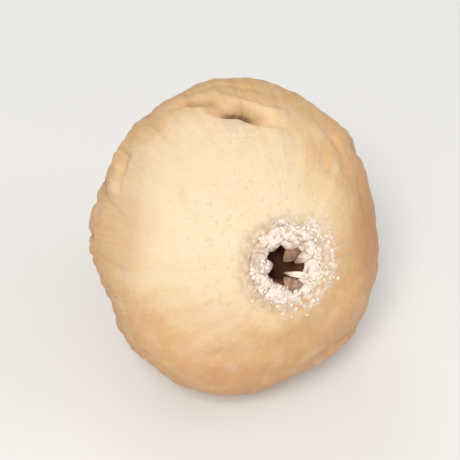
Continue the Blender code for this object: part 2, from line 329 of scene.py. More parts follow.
def round_share(around, radius):
    """How far the body's ring stands out of a circle here: taller than wide, and squarish."""
    across = abs(cos(around))
    upward = abs(sin(around))
    tall = CROWN_SHARE if sin(around) > 0 else BELLY_SHARE
    square = (across**SQUARENESS + upward**SQUARENESS) ** (-1 / SQUARENESS)
    fullness = min(1.0, radius / HALF_WIDTH) ** 2
    return 1 + fullness * (square * (1 + (tall - 1) * upward * upward) - 1)


SWELLING_SPOTS = [
    (direction(from_eye, around) * HALF_WIDTH, reach * MM, rise * MM)
    for from_eye, around, reach, rise in SWELLINGS
]


def swelling_relief(spot):
    return sum(
        rise * exp(-(((spot - centre).length / reach) ** 2))
        for centre, reach, rise in SWELLING_SPOTS
    )


print("swellings and dents:", len(SWELLING_SPOTS))

# %% [markdown]
# Creases cross the pleats where the fruit was pressed. Each is a groove along a line between two
# places, with a lip of skin on its neck side, and noise makes the line wander.

# %% Creases
# From the eye and round at both ends in degrees, depth and half width in mm
CREASES = (
    (58, 22, 67, 1, 0.62, 0.50),
    (66, 2, 82, -12, 0.36, 0.50),
    (90, -27, 81, -46, 0.40, 0.65),
    (98, -66, 104, -98, 0.50, 0.70),
    (70, 60, 88, 78, 0.45, 0.70),
    (58, 168, 76, 132, 0.50, 0.75),
    (104, 20, 118, 48, 0.55, 0.80),
    (108, 100, 120, 130, 0.50, 0.80),
    (116, -20, 124, -58, 0.55, 0.80),
    (100, -130, 112, -165, 0.45, 0.75),
)
CREASE_TAPER = 0.2
LIP_SHARE = 0.55
LIP_OFFSET = 2.0
SHADE_OFFSET = 0.15
SHADE_WIDTH = 0.8
FULL_SHADE_DEPTH = 0.5 * MM
WANDER = 0.75 * MM
WANDER_SIZE = 2.4 * MM


def crease_lines(creases):
    """Start, run and sideways direction of each crease, worked out once."""
    lines = []
    for eye_a, round_a, eye_b, round_b, depth, half_width in creases:
        start = direction(eye_a, round_a)
        end = direction(eye_b, round_b)
        across = start.cross(end).normalized()
        if across.z > 0:
            across.negate()
        lines.append((start, end - start, across, depth * MM, half_width * MM))
    return lines


def crease_relief(spot, lines, lip_share=LIP_SHARE, shade_offset=SHADE_OFFSET):
    """Short folds across the pleats: a groove, with a lip of skin on its neck side, and the painted
    shade in the groove.
    """
    height = 0.0
    groove_shade = 0.0
    towards = spot.normalized()
    wander = WANDER * noise.noise(spot / WANDER_SIZE)
    for start, run, across, depth, half_width in lines:
        off = towards.dot(across) * HALF_WIDTH + wander
        if abs(off) > 4 * half_width or towards.dot(start) < 0:
            continue
        along = (towards - start).dot(run) / run.length_squared
        if not -CREASE_TAPER < along < 1 + CREASE_TAPER:
            continue
        taper = sin(pi * (along + CREASE_TAPER) / (1 + 2 * CREASE_TAPER))
        groove = exp(-((off / half_width) ** 2))
        lip = lip_share * exp(-((off / half_width - LIP_OFFSET) ** 2))
        height += taper * depth * (lip - groove)
        shade = exp(-((off / half_width - shade_offset) ** 2) / SHADE_WIDTH)
        groove_shade = max(groove_shade, taper * shade * min(1.0, depth / FULL_SHADE_DEPTH))
    return height, groove_shade


crease_set = crease_lines(CREASES)
print("creases:", len(crease_set))

# %% [markdown]
# On top of those forms, which the solid has too, the real skin carries finer ones: narrow slits
# at the bottom of the large creases, shallow hollows, secondary ribs on the pleats, wrinkles that
# branch, and a net of facets where the skin shrank both ways. They are small, so they add detail
# without changing the outline, and they fade out on the smooth half round the eye.

# %% Finer folds of the skin
TOP_SLITS = (
    (60.4, 15, 69.6, -4, 1.00, 0.27),
    (67, 1, 82, -12, 0.38, 0.24),
)
TOP_SLIT_SHADE = 0.74
SLITS = (
    (63.4, 12, 70, 1, 0.30, 0.27),
    (90, -38, 76, -42, 0.20, 0.36),
    (88, -45, 78, -50, 0.16, 0.34),
    (82, -4, 75, 24, 0.14, 0.30),
    (90, 0, 86, 26, 0.12, 0.32),
    (112, 12, 104, 44, 0.35, 0.30),
    (122, 60, 112, 92, 0.30, 0.30),
    (126, -30, 116, -66, 0.35, 0.30),
    (110, 160, 102, 126, 0.28, 0.28),
    (112, -118, 104, -146, 0.28, 0.28),
)
HOLLOWS = (
    (26, 138, 36, -165, 0.22, 1.30),
    (36, -160, 54, -128, 0.28, 1.20),
    (68, 38, 50, 66, 0.26, 0.75),
    (60, 30, 44, 52, 0.14, 0.80),
    (64, 62, 46, 88, 0.20, 0.70),
    (70, -62, 74, -96, 0.22, 1.30),
    (40, -52, 62, -36, 0.12, 1.10),
)
RIB_TIMES = 3.0
RIB_SHARE = 0.16
NET_SIZE = 2.3 * MM
NET_HEIGHT = 0.16 * MM
CRINKLE_SIZE = 0.9 * MM
CRINKLE_HEIGHT = 0.035 * MM
WRINKLE_SIZE = 3.4 * MM
WRINKLE_STRETCH = 0.4
WRINKLE_WIDTH = 0.19
WRINKLE_HEIGHT = 0.24 * MM
PATCH_SIZE = 7 * MM
RIB_WARP = 0.12
RIB_WARP_SIZE = 6 * MM
VALLEY_SHARPNESS = 1.5
SMALL_VALLEY_SCALE = 0.45
SMOOTH_FROM = 2.5 * MM
SMOOTH_LENGTH = 9 * MM
SMOOTH_LEAST = 0.12
top_slit_set = crease_lines(TOP_SLITS)
slit_set = crease_lines(SLITS)
hollow_set = crease_lines(HOLLOWS)


def wrinkle_valley(lengthwise, size, shift):
    """1 on the line of a branching wrinkle and 0 beside it, from the places where noise is 0."""
    beside = abs(noise.noise(lengthwise / size + Vector(shift))) / WRINKLE_WIDTH
    return max(0.0, 1 - beside) ** VALLEY_SHARPNESS


def fine_relief(spot, pleat_depth):
    """Height of the secondary ribs, the net, the wrinkles and crinkles, and the painted shade in their
    valleys.
    """
    around = atan2(spot.x, spot.y)
    rib_phase = RIB_TIMES * PLEATS * (around + RIB_WARP * noise.noise(spot / RIB_WARP_SIZE))
    ribs = RIB_SHARE * pleat_depth * (abs(sin(rib_phase / 2)) - 0.6)
    near, second = noise.voronoi(Vector((spot.x, spot.y, 0.6 * spot.z)) / NET_SIZE)[0][:2]
    patch = clamp(0.45 + 1.4 * noise.noise(spot / PATCH_SIZE + Vector((3.0, 1.0, 0.0))))
    net = (1 - min(1.0, (second - near) * 3.0)) * patch
    lengthwise = Vector((spot.x, spot.y, WRINKLE_STRETCH * spot.z))
    valley = wrinkle_valley(lengthwise, WRINKLE_SIZE, (0.0, 5.0, 2.0))
    small_valley = wrinkle_valley(lengthwise, SMALL_VALLEY_SCALE * WRINKLE_SIZE, (4.0, 0.0, 8.0))
    behind = clamp((SMOOTH_FROM - spot.z) / SMOOTH_LENGTH, SMOOTH_LEAST)
    shrunk = NET_HEIGHT * net + WRINKLE_HEIGHT * (valley + 0.4 * small_valley)
    crinkle = CRINKLE_HEIGHT * noise.noise(spot / CRINKLE_SIZE)
    wrinkle_shade = behind * max(net, 0.8 * valley, 0.35 * small_valley)
    return ribs + crinkle - behind * shrunk, wrinkle_shade


print("slits:", len(top_slit_set) + len(slit_set), "hollows:", len(hollow_set))

# %% [markdown]
# The skin starts as a UV sphere, because its poles fit the eye and the stalk and its rings fit the
# pleats. Each ring is moved to its place on the outline, and every point is then pushed out or in along
# the surface's normal, as a sculptor would do by hand, only by a rule. Attributes are kept for the
# material: how deep in a fold or slit a point is, for painted shade and painted shadow, how far along
# the fig it lies, and whether it is in the pit of the eye.

# %% Skin
SKIN_SIDES = 368
TOP_CROWDING = 0.22
EYE_CALM = 3.0 * MM
NECK_CALM = 1.8 * MM
LUMP_SIZE = 5.5 * MM
LUMP_HEIGHT = 0.45 * MM
FRONT_PLACES = in_mm(-11.0, -5.5, 3.0, 8.0)
FRONT_SHARES = (1.0, 0.38, 0.30, 0.70)
RIM_LENGTH = 1.6 * MM
RIM_TEETH = ((0.55 * MM, 2.2), (0.2 * MM, 6.0))
SLIT_LIP_SHARE = 0.25
FOLD_SHADE_WEIGHTS = (0.8, 0.2, 0.5, 0.5, 0.25)


def select_nothing():
    bpy.ops.object.select_all(action="DESELECT")


def calm(spot):
    """1 on the body, and down to 0 at the seat of the scales and at the neck's cut end."""
    if spot.z > 0:
        from_seat = hypot(spot.x, spot.y) - SEAT_RADIUS - JOIN_GAP
        return clamp(from_seat / EYE_CALM)
    from_neck_end = NECK_END - NECK_RADIUS * 0.3 + spot.z
    return clamp(from_neck_end / NECK_CALM)


def neck_rim(spot):
    """How far the skin's torn rim reaches along the stalk here."""
    near_end = clamp((-spot.z - NECK_END + RIM_LENGTH) / RIM_LENGTH)
    turn = atan2(spot.y, spot.x)
    around_rim = Vector((cos(turn), sin(turn), 0.0))
    return near_end * sum(height * noise.noise(count * around_rim) for height, count in RIM_TEETH)


select_nothing()
bpy.ops.mesh.primitive_uv_sphere_add(segments=SKIN_SIDES, ring_count=len(skin_rings) - 1, radius=1.0)
skin = bpy.context.active_object
skin.name = "fig_skin"
shape = bmesh.new()
shape.from_mesh(skin.data)
for vertex in shape.verts:
    ring = round(acos(max(-1.0, min(1.0, vertex.co.z))) / pi * (len(skin_rings) - 1))
    radius, axial = skin_rings[ring]
    turn = atan2(vertex.co.y, vertex.co.x)
    turn += TOP_CROWDING * cos(turn)
    width = radius * round_share(turn, radius)
    vertex.co = Vector((width * cos(turn), width * sin(turn), axial))
shape.normal_update()
for name in ("fold_shade", "along", "pit", "slit"):
    shape.verts.layers.float.new(name)
kept = shape.verts.layers.float
fold_shade_layer, along_layer, pit_layer, slit_shadow_layer = kept["fold_shade"], kept["along"], kept["pit"], kept["slit"]
placed = []
for vertex in shape.verts:
    spot = vertex.co
    still = calm(spot)
    pleat, valley = pleat_relief(spot)
    crease, groove = crease_relief(spot, crease_set)
    slit, slit_shadow = crease_relief(spot, slit_set, SLIT_LIP_SHARE)
    top_slit, top_slit_shadow = crease_relief(spot, top_slit_set, SLIT_LIP_SHARE, TOP_SLIT_SHADE)
    slit_shadow = max(slit_shadow, top_slit_shadow)
    hollow, hollow_shade = crease_relief(spot, hollow_set, 0.0)
    lump = LUMP_HEIGHT * noise.noise(spot / LUMP_SIZE)
    pleat_depth = between(PLEAT_PLACES, PLEAT_DEPTHS, spot.z)
    fine, wrinkle_shade = fine_relief(spot, pleat_depth)
    pleat *= between(FRONT_PLACES, FRONT_SHARES, spot.z)
    height = pleat + crease + slit + top_slit + hollow + swelling_relief(spot) + lump + fine
    place = spot + vertex.normal * height * still - Vector((0.0, 0.0, neck_rim(spot)))
    placed.append(place + spine(place.z) - Vector((0.0, 0.0, place.z)))
    # Painted shade for the material: how deep a point lies in a pleat, crease, wrinkle or hollow, and
    # painted shadow at the bottom of the slits.
    pleat_shade = valley**2 * pleat_depth / max(PLEAT_DEPTHS)
    shades = (pleat_shade, groove, slit_shadow, wrinkle_shade, hollow_shade)
    fold_shade = sum(weight * shade for weight, shade in zip(FOLD_SHADE_WEIGHTS, shades))
    vertex[fold_shade_layer] = min(1.0, fold_shade * still)
    vertex[slit_shadow_layer] = slit_shadow * still
    vertex[along_layer] = (EYE_REACH - spot.z) / (EYE_REACH + NECK_END)
    off_axis = hypot(spot.x, spot.y)
    vertex[pit_layer] = float(spot.z > PIT_FLOOR - MM and off_axis < SEAT_RADIUS - RIM_CLOSE)
for vertex, place in zip(shape.verts, placed):
    vertex.co = to_world @ place
shape.to_mesh(skin.data)
shape.free()
print("skin faces:", len(skin.data.polygons))

# %% [markdown]
# Where the belly rests, the skin is pressed flat. A soft stop keeps every point above the table
# and rounds the edge of the flat spot, which a hard cut would leave sharp.

# %% Pressed belly
PRESS_SOFTNESS = 0.12 * MM

for vertex in skin.data.vertices:
    soft = hypot(vertex.co.z, PRESS_SOFTNESS)
    vertex.co.z = (vertex.co.z + soft) / 2
skin.data.shade_smooth()
print("lowest point of the skin in mm:", round(min(v.co.z for v in skin.data.vertices) / MM, 3))

# %% [markdown]
# Materials are built from nodes. These helpers add a node, wire it, and give its output on, so a
# mask is one line. All patterns read the fig's upright frame, which a Mapping node gives from the
# object's own coordinates, so they lie the same way on every piece.

# %% Helpers for nodes
def add_node(tree, kind, sockets=None, **settings):
    """A node with its settings made and its sockets wired to an output or set to a value."""
    node = tree.nodes.new(kind)
    for name, value in settings.items():
        setattr(node, name, value)
    for name, value in (sockets or {}).items():
        socket = node.inputs[name]
        if isinstance(value, bpy.types.NodeSocket):
            tree.links.new(value, socket)
        else:
            socket.default_value = (*value, 1.0) if socket.type == "RGBA" else value
    return node


def maths(tree, operation, first, second=0.0, **settings):
    sockets = {0: first, 1: second}
    return add_node(tree, "ShaderNodeMath", sockets, operation=operation, **settings).outputs[0]


def plus(tree, first, second):
    return maths(tree, "ADD", first, second)


def times(tree, first, second):
    return maths(tree, "MULTIPLY", first, second)


def vector_maths(tree, operation, sockets):
    """Output of a vector node: a number for a distance or a dot product, else a vector."""
    node = add_node(tree, "ShaderNodeVectorMath", sockets, operation=operation)
    return node.outputs["Value" if operation in ("DISTANCE", "DOT_PRODUCT") else "Vector"]


def split_vector(tree, vector):
    return add_node(tree, "ShaderNodeSeparateXYZ", {"Vector": vector}).outputs


def distance_across(tree, upright, centre_x, centre_y):
    """Distance from a line that runs along the fig, through a point beside its axis."""
    parts = split_vector(tree, upright)
    x = maths(tree, "SUBTRACT", parts["X"], centre_x)
    y = maths(tree, "SUBTRACT", parts["Y"], centre_y)
    return maths(tree, "SQRT", plus(tree, times(tree, x, x), times(tree, y, y)))


def fade(tree, value, start, end, low_end=0.0, high_end=1.0):
    """Smooth change from low_end to high_end while the value goes from start to end."""
    node = add_node(tree, "ShaderNodeMapRange", {
        "Value": value, "From Min": start, "From Max": end, "To Min": low_end, "To Max": high_end,
    }, interpolation_type="SMOOTHSTEP")
    return node.outputs["Result"]


def upright_coordinates(tree):
    """The fig's own upright frame, from the object's coordinates."""
    coordinates = add_node(tree, "ShaderNodeTexCoord")
    mapping = add_node(tree, "ShaderNodeMapping", {
        "Vector": coordinates.outputs["Object"],
        "Location": middle,
        "Rotation": (pi / 2 - EYE_RISE, 0.0, 0.0),
    }, vector_type="TEXTURE")
    return mapping.outputs["Vector"]


print("the patterns are turned by", round(90 - degrees(EYE_RISE)), "degrees")

# %% [markdown]
# A material is coats of colour, each with a mask, over a first colour, and layers of relief.
# These helpers keep each coat and each layer to one line.

# %% Helpers for materials
def blend_colour(tree, factor, colour_a, colour_b):
    """Colour A where the factor is 0 and colour B where it is 1. The numbers are its sockets."""
    sockets = {0: factor, 6: colour_a, 7: colour_b}
    return add_node(tree, "ShaderNodeMix", sockets, data_type="RGBA").outputs[2]


def paint(tree, colour, *coats):
    """The colour under coats of (mask, colour), each laid over the last."""
    for mask, coat in coats:
        colour = blend_colour(tree, mask, colour, coat)
    return colour


def noise_value(tree, vector, size, detail=3.0, roughness=0.55, distortion=0.0):
    """Cloudy noise between 0 and 1, whose features are about the given size in metres."""
    return add_node(tree, "ShaderNodeTexNoise", {
        "Vector": vector, "Scale": 1 / size, "Detail": detail, "Roughness": roughness,
        "Distortion": distortion,
    }).outputs["Fac"]


def new_group(name, output, **numbers):
    """A node group with a Vector input, an input for each number, and one output."""
    tree = bpy.data.node_groups.new(name, "ShaderNodeTree")
    tree.interface.new_socket("Vector", in_out="INPUT", socket_type="NodeSocketVector")
    for socket_name, default in numbers.items():
        socket = tree.interface.new_socket(socket_name, in_out="INPUT", socket_type="NodeSocketFloat")
        socket.default_value = default
    tree.interface.new_socket(output, in_out="OUTPUT", socket_type="NodeSocketFloat")
    return tree, tree.nodes.new("NodeGroupInput").outputs, tree.nodes.new("NodeGroupOutput").inputs[0]


def use_group(tree, group, vector, **values):
    """The group's one output, where the group is placed in a material with its own values."""
    return add_node(tree, "ShaderNodeGroup", {"Vector": vector, **values}, node_tree=group).outputs[0]


def attribute_value(tree, name):
    return add_node(tree, "ShaderNodeAttribute", attribute_name=name).outputs["Fac"]


def new_material(name, piece):
    """A new material on the piece: its nodes, and the upright coordinates they read."""
    material = bpy.data.materials.new(name)
    material.use_nodes = True
    piece.data.materials.append(material)
    return material.node_tree, upright_coordinates(material.node_tree)


def bumps(tree, *layers):
    """Relief from layers of (height, distance, strength), each laid over the last."""
    sockets = {}
    for height, distance, strength in layers:
        sockets |= {"Height": height, "Distance": distance, "Strength": strength}
        sockets["Normal"] = add_node(tree, "ShaderNodeBump", sockets).outputs["Normal"]
    return sockets["Normal"]


def wire_shader(tree, colour, roughness, normal, flesh=()):
    """Feed the Principled shader. Flesh: weight, radius and scale of the light that passes in."""
    sockets = tree.nodes["Principled BSDF"].inputs
    for name, output in (("Base Color", colour), ("Roughness", roughness), ("Normal", normal)):
        tree.links.new(output, sockets[name])
    for name, value in zip(("Weight", "Radius", "Scale"), flesh):
        sockets["Subsurface " + name].default_value = value


print("materials so far:", len(bpy.data.materials))

# %% [markdown]
# Three effects are used on more than one piece, so each is a node group with named inputs: a fine
# grain, streaks that run from the eye to the stalk, and a crust of dried sugar.

# %% Shared effects
grain_group, grain_in, grain_out = new_group("fine_grain", "Height", Size=0.4 * MM)
grain_scale = maths(grain_group, "DIVIDE", 1.0, grain_in["Size"])
grain_clouds = add_node(grain_group, "ShaderNodeTexNoise", {
    "Vector": grain_in["Vector"], "Scale": grain_scale, "Detail": 5.0, "Roughness": 0.62,
})
grain_cells = add_node(grain_group, "ShaderNodeTexVoronoi", {
    "Vector": grain_in["Vector"], "Scale": grain_scale,
}, feature="SMOOTH_F1")
grain_sum = maths(grain_group, "MULTIPLY_ADD", grain_cells.outputs["Distance"], 0.45)
grain_group.links.new(grain_clouds.outputs["Fac"], grain_sum.node.inputs[2])
grain_group.links.new(grain_sum, grain_out)

streak_group, streak_in, streak_out = new_group(
    "meridian_streaks", "Mask", Count=10.0, Length=12.0 * MM
)
streak_parts = split_vector(streak_group, streak_in["Vector"])
flat_vector = add_node(streak_group, "ShaderNodeCombineXYZ", {
    "X": streak_parts["X"], "Y": streak_parts["Y"],
}).outputs["Vector"]
on_circle = vector_maths(streak_group, "NORMALIZE", {0: flat_vector})
on_circle = vector_maths(streak_group, "SCALE", {0: on_circle, "Scale": streak_in["Count"]})
circle_parts = split_vector(streak_group, on_circle)
streak_vector = add_node(streak_group, "ShaderNodeCombineXYZ", {
    "X": circle_parts["X"],
    "Y": circle_parts["Y"],
    "Z": maths(streak_group, "DIVIDE", streak_parts["Z"], streak_in["Length"]),
}).outputs["Vector"]
streak_noise = noise_value(streak_group, streak_vector, 1.0, detail=3.0, roughness=0.6)
streak_group.links.new(fade(streak_group, streak_noise, 0.3, 0.7), streak_out)

crust_group, crust_in, crust_out = new_group("sugar_crust", "Mask", Size=0.3 * MM, Cover=0.5)
crust_scale = maths(crust_group, "DIVIDE", 1.0, crust_in["Size"])
crust_noise = add_node(crust_group, "ShaderNodeTexNoise", {
    "Vector": crust_in["Vector"], "Scale": crust_scale, "Detail": 6.0, "Roughness": 0.7,
})
crust_level = maths(crust_group, "SUBTRACT", 0.78, times(crust_group, crust_in["Cover"], 0.5))
crust_above = maths(crust_group, "SUBTRACT", crust_noise.outputs["Fac"], crust_level)
crust_mask = maths(crust_group, "MULTIPLY", crust_above, 9.0, use_clamp=True)
crust_group.links.new(crust_mask, crust_out)
print("node groups:", [group.name for group in bpy.data.node_groups])

# %% [markdown]
# The skin is pale cream beside the eye, tan on the flanks, and brown at the neck. One ramp gives that
# order, by the angle from the palest spot, which lies on the lit side, so its darkening of the flanks
# is partly the skin's own colour and partly painted shade. Noise and streaks shift it from place to
# place, and a few soft tints set places that are darker or warmer than the ramp: partly the skin's own
# tone, partly painted shade on the flanks.

# %% Skin material: ground colour
# The palest spot lies on the lit side, so the ramp's darkening away from it is partly painted shade.
CREAM_AND_LIT_MIDDLE = direction(34.0, -35.0)
RAMP_REACH = 1.45
NECK_AGE = 0.5
TINT_UNEVEN = 5 * MM
SKIN_RAMP = (
    (0.000, (0.850, 0.665, 0.450)),
    (0.062, (0.825, 0.640, 0.420)),
    (0.110, (0.785, 0.550, 0.310)),
    (0.145, (0.720, 0.452, 0.214)),
    (0.190, (0.692, 0.414, 0.184)),
    (0.255, (0.645, 0.355, 0.153)),
    (0.345, (0.590, 0.322, 0.144)),
    (0.480, (0.530, 0.300, 0.150)),
    (0.620, (0.450, 0.265, 0.148)),
    (0.760, (0.350, 0.205, 0.128)),
    (0.900, (0.255, 0.150, 0.102)),
    (1.000, (0.185, 0.110, 0.080)),
)
VEIL_YELLOW = (0.83, 0.68, 0.43)
VEIL_PINK = (0.84, 0.60, 0.42)
# Tints that are partly the skin's own tone and partly painted shade on the flanks.
# From the eye and round in degrees, full and faded reach in mm, share, colour
LOCAL_TINTS_AND_SHADE = (
    (80.0, 8.0, 1.5, 6.0, 0.75, (0.64, 0.385, 0.155)),
    (74.0, -64.0, 1.0, 6.0, 0.60, (0.73, 0.44, 0.22)),
    (56.0, 95.0, 1.5, 7.5, 0.80, (0.54, 0.250, 0.085)),
    (37.0, 176.0, 0.5, 4.5, 0.55, (0.60, 0.355, 0.155)),
    (57.0, 32.0, 0.5, 4.0, 0.45, (0.66, 0.460, 0.230)),
)
BLUSH_COLOUR = (0.74, 0.46, 0.30)
OLIVE_COLOUR = (0.55, 0.44, 0.20)

tree, upright = new_material("dried_skin", skin)
along = attribute_value(tree, "along")
streaks = use_group(tree, streak_group, upright, Count=9.0, Length=11 * MM)
fine_streaks = use_group(tree, streak_group, upright, Count=34.0, Length=7 * MM)
patches = noise_value(tree, upright, 5.5 * MM, detail=4.0, roughness=0.6, distortion=0.6)
mottle = noise_value(tree, upright, 1.6 * MM, detail=5.0, roughness=0.65)

toward = vector_maths(tree, "NORMALIZE", {0: upright})
toward_lit_cream = vector_maths(tree, "DOT_PRODUCT", {0: toward, 1: CREAM_AND_LIT_MIDDLE})
away = times(tree, maths(tree, "SUBTRACT", 1.0, toward_lit_cream), 0.5)
ramp_place = plus(tree, away, fade(tree, along, 0.60, 1.0, 0.0, NECK_AGE))
ramp_place = maths(tree, "DIVIDE", ramp_place, RAMP_REACH)
for cloud, amount in ((patches, 0.17), (streaks, 0.035), (mottle, 0.07)):
    ramp_place = plus(tree, ramp_place, times(tree, maths(tree, "SUBTRACT", cloud, 0.5), amount))
ramp = add_node(tree, "ShaderNodeValToRGB", {"Fac": ramp_place})
stops = ramp.color_ramp.elements
stops.remove(stops[1])
stops[0].color = (*SKIN_RAMP[0][1], 1.0)
for place, colour in SKIN_RAMP[1:]:
    stops.new(place).color = (*colour, 1.0)

veil = noise_value(tree, upright, 3.2 * MM, detail=4.0, distortion=0.3)
colour = paint(
    tree, ramp.outputs["Color"], (fade(tree, veil, 0.49, 0.74, 0.0, 0.36), VEIL_YELLOW),
    (fade(tree, veil, 0.51, 0.26, 0.0, 0.36), VEIL_PINK),
)
uneven_edge = times(tree, maths(tree, "SUBTRACT", patches, 0.5), TINT_UNEVEN)
for from_eye, around, full, faded, share, tint in LOCAL_TINTS_AND_SHADE:
    tint_middle = direction(from_eye, around) * (HALF_WIDTH + 0.5 * MM)
    apart = vector_maths(tree, "DISTANCE", {0: upright, 1: tint_middle})
    near_tint_and_shade = fade(tree, plus(tree, apart, uneven_edge), faded * MM, full * MM, 0.0, share)
    colour = blend_colour(tree, near_tint_and_shade, colour, tint)
blush = noise_value(tree, upright, 4.2 * MM, detail=5.0, distortion=0.4)
olive = noise_value(tree, upright, 3.4 * MM, detail=4.0, distortion=0.6)
olive_mask = times(tree, fade(tree, olive, 0.50, 0.78), fade(tree, along, 0.12, 0.4, 0.0, 0.35))
blush_mask = fade(tree, blush, 0.48, 0.78, 0.0, 0.52)
colour = paint(tree, colour, (blush_mask, BLUSH_COLOUR), (olive_mask, OLIVE_COLOUR))
print("stops on the ramp:", len(stops), "local tints:", len(LOCAL_TINTS_AND_SHADE))

# %% [markdown]
# Painted shade darkens the folds against the ridges, and painted shadow makes the slits darkest. The
# attributes that were kept with the shape say where they are. A few specks are strewn over the pale
# part, as on the real skin.

# %% Skin material: folds and specks
FOLD_SHADE_AND_STREAK_COLOUR = (0.34, 0.185, 0.08)
SLIT_SHADOW_COLOUR = (0.13, 0.062, 0.028)
SLIT_SHADOW_SHARPNESS = 4.0
SPECK_COLOUR = (0.30, 0.16, 0.08)

# Painted shade in the folds and painted shadow at the bottom of the slits.
fold_shade_mask = fade(tree, attribute_value(tree, "fold_shade"), 0.12, 0.95, 0.0, 0.85)
streak_mask = times(tree, fine_streaks, fade(tree, along, 0.1, 0.6, 0.02, 0.24))
slit_shadow_core = maths(tree, "POWER", attribute_value(tree, "slit"), SLIT_SHADOW_SHARPNESS)
slit_shadow_mask = fade(tree, slit_shadow_core, 0.12, 0.66, 0.0, 0.82)
specks = noise_value(tree, upright, 0.55 * MM, detail=1.0)
speck_mask = times(tree, fade(tree, specks, 0.74, 0.80), fade(tree, patches, 0.45, 0.7, 0.0, 0.6))
colour = paint(
    tree, colour, (fold_shade_mask, FOLD_SHADE_AND_STREAK_COLOUR), (streak_mask, FOLD_SHADE_AND_STREAK_COLOUR), (slit_shadow_mask, SLIT_SHADOW_COLOUR),
    (speck_mask, SPECK_COLOUR),
)
print("skin nodes so far:", len(tree.nodes))

# %% [markdown]
# A thin bloom of dried sugar lies near the eye and in front of the crease on top. It is denser on one
# side of the eye, and a tan ring of painted shade, shifted to the left, lies round the eye between it
# and the clean skin. Inside the eye the skin turns dark red brown.

# %% Skin material: sugar and the eye
SUGAR_COLOUR = (0.88, 0.78, 0.66)
CRUST_SHIFT = in_mm(0.70, -0.25)
CRUST_EDGE = in_mm(5.2, 3.6)
CREASE_SUGAR_EDGE = in_mm(3.2, 0.8)
EYE_SHADE_COLOUR = (0.43, 0.265, 0.155)
EYE_SHADE_SHIFT = in_mm(-0.35, 0.15)
EYE_SHADE_EDGE = in_mm(4.7, 3.6)
PIT_COLOUR = (0.150, 0.048, 0.022)

eye_half = fade(tree, along, 0.25, 0.15)
from_crust = distance_across(tree, upright, *CRUST_SHIFT)
near_eye = times(tree, fade(tree, from_crust, *CRUST_EDGE), eye_half)
crease_middle = direction(60.0, 2.0) * (HALF_WIDTH + 0.4 * MM)
to_crease = vector_maths(tree, "DISTANCE", {0: upright, 1: crease_middle})
cover = fade(tree, along, 0.02, 0.3, 0.40, 0.12)
for closeness in (near_eye, fade(tree, to_crease, *CREASE_SUGAR_EDGE)):
    cover = plus(tree, cover, times(tree, closeness, 0.30))
bloom = use_group(tree, crust_group, upright, Size=0.5 * MM, Cover=cover)
bloom_mask = times(tree, bloom, plus(tree, 0.42, times(tree, near_eye, 0.42)))
# Painted shade: a tan ring round the eye, reaching further on its left, broken up by noise.
from_eye_shade = distance_across(tree, upright, *EYE_SHADE_SHIFT)
eye_shade_noise = noise_value(tree, upright, 0.6 * MM, detail=4.0, roughness=0.65)
eye_shade = times(tree, eye_half, fade(tree, from_eye_shade, *EYE_SHADE_EDGE))
eye_shade = times(tree, eye_shade, fade(tree, eye_shade_noise, 0.38, 0.60, 0.10, 0.50))
colour = paint(
    tree, colour, (bloom_mask, SUGAR_COLOUR), (eye_shade, EYE_SHADE_COLOUR),
    (attribute_value(tree, "pit"), PIT_COLOUR),
)
print("skin nodes so far:", len(tree.nodes))

# %% [markdown]
# The last and finest relief is bump: streaks, a net of tiny cells towards the neck, grain, and
# the sugar. A little light passes through the outer flesh, which takes the hardness out of the
# shadows.

# %% Skin material: relief
NET_CELL = 1.1 * MM

grain = use_group(tree, grain_group, upright, Size=0.32 * MM)
net_cells = add_node(tree, "ShaderNodeTexVoronoi", {
    "Vector": upright, "Scale": 1 / NET_CELL,
}, feature="DISTANCE_TO_EDGE")
net_height = fade(tree, net_cells.outputs["Distance"], 0.0, 0.22)
net_height = times(tree, net_height, fade(tree, along, 0.15, 0.6))
streak_height = times(tree, fine_streaks, fade(tree, along, 0.15, 0.6, 0.25, 1.0))
surface = bumps(
    tree, (streak_height, 0.10 * MM, 0.6), (net_height, 0.09 * MM, 0.6), (grain, 0.07 * MM, 0.55),
    (bloom, 0.05 * MM, 0.7),
)
rough = plus(tree, plus(tree, 0.47, times(tree, mottle, 0.22)), times(tree, bloom, 0.2))
wire_shader(tree, colour, rough, surface, (0.14, (1.0, 0.5, 0.22), 1.1 * MM))
print("skin nodes:", len(tree.nodes))

# %% [markdown]
# The stalk is the short woody stub where the fruit was cut from its twig. It starts as a filled
# circle that is extruded ring by ring along the bent spine, each ring with its own width. Its
# first ring reaches into the neck, so no gap shows. Ridges and knobs are then pushed out, and the
# cut end is inset and sunk, which leaves a rim of bark round paler wood.

# %% Stalk
STALK_RADIUS = 1.15 * MM
STALK_OUTLINE = ((0.0, 1.45), (0.14, 1.30), (0.36, 0.95), (0.62, 0.86), (0.82, 1.12), (1.0, 1.0))
STALK_SIDES = 96
STALK_STEPS = 64
STALK_RIDGES = 8
STALK_RIDGE_HEIGHT = 0.05 * MM
STALK_KNOB_SIZE = 1.1 * MM
STALK_KNOB_HEIGHT = 0.12 * MM
BARK_SIZE = 0.28 * MM
BARK_HEIGHT = 0.05 * MM
CUT_END_RIM = 0.22 * MM
CUT_END_DEPTH = 0.12 * MM
STALK_ROOT = 0.45 * MM
TABLE_GAP = 0.02 * MM

outline_places, outline_shares = zip(*STALK_OUTLINE)


def stalk_ring(step):
    """Middle and radius of one ring, from inside the neck to the cut end."""
    along_stalk = (STALK_LENGTH + STALK_ROOT) * step / STALK_STEPS - STALK_ROOT
    share = between(outline_places, outline_shares, along_stalk / STALK_LENGTH, eased=True)
    return spine(-NECK_END - JOIN_GAP - along_stalk), share * STALK_RADIUS


